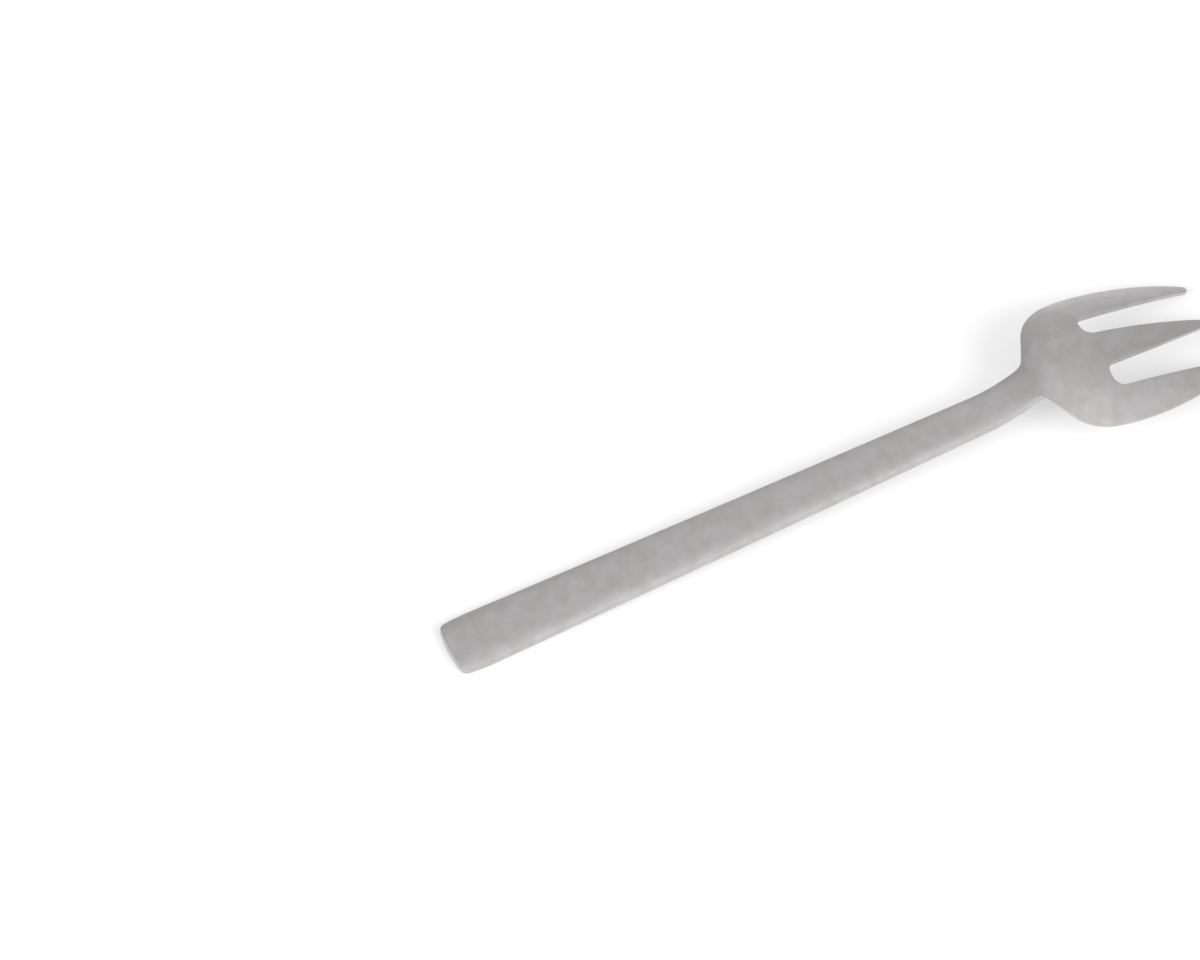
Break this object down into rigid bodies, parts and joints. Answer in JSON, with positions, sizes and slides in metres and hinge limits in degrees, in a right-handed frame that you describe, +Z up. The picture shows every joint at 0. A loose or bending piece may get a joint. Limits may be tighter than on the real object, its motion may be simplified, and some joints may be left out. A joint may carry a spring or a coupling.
{
  "type": "pastry fork",
  "caption": "Flat-handled pastry fork with a raised neck, a crowned head and tapering tines, lying with its back up.",
  "frame": {"origin": "on the table, under the middle of the fork's overall box", "axes": "+X from the handle end to the tine tips, +Y across the fork, +Z up from the table toward the back of the fork"},
  "size_m": [0.15, 0.028, 0.0108],
  "materials": {
    "steel": "satin"
  },
  "bodies": {
    "root": {"fork": "steel"}
  },
  "joints": []
}
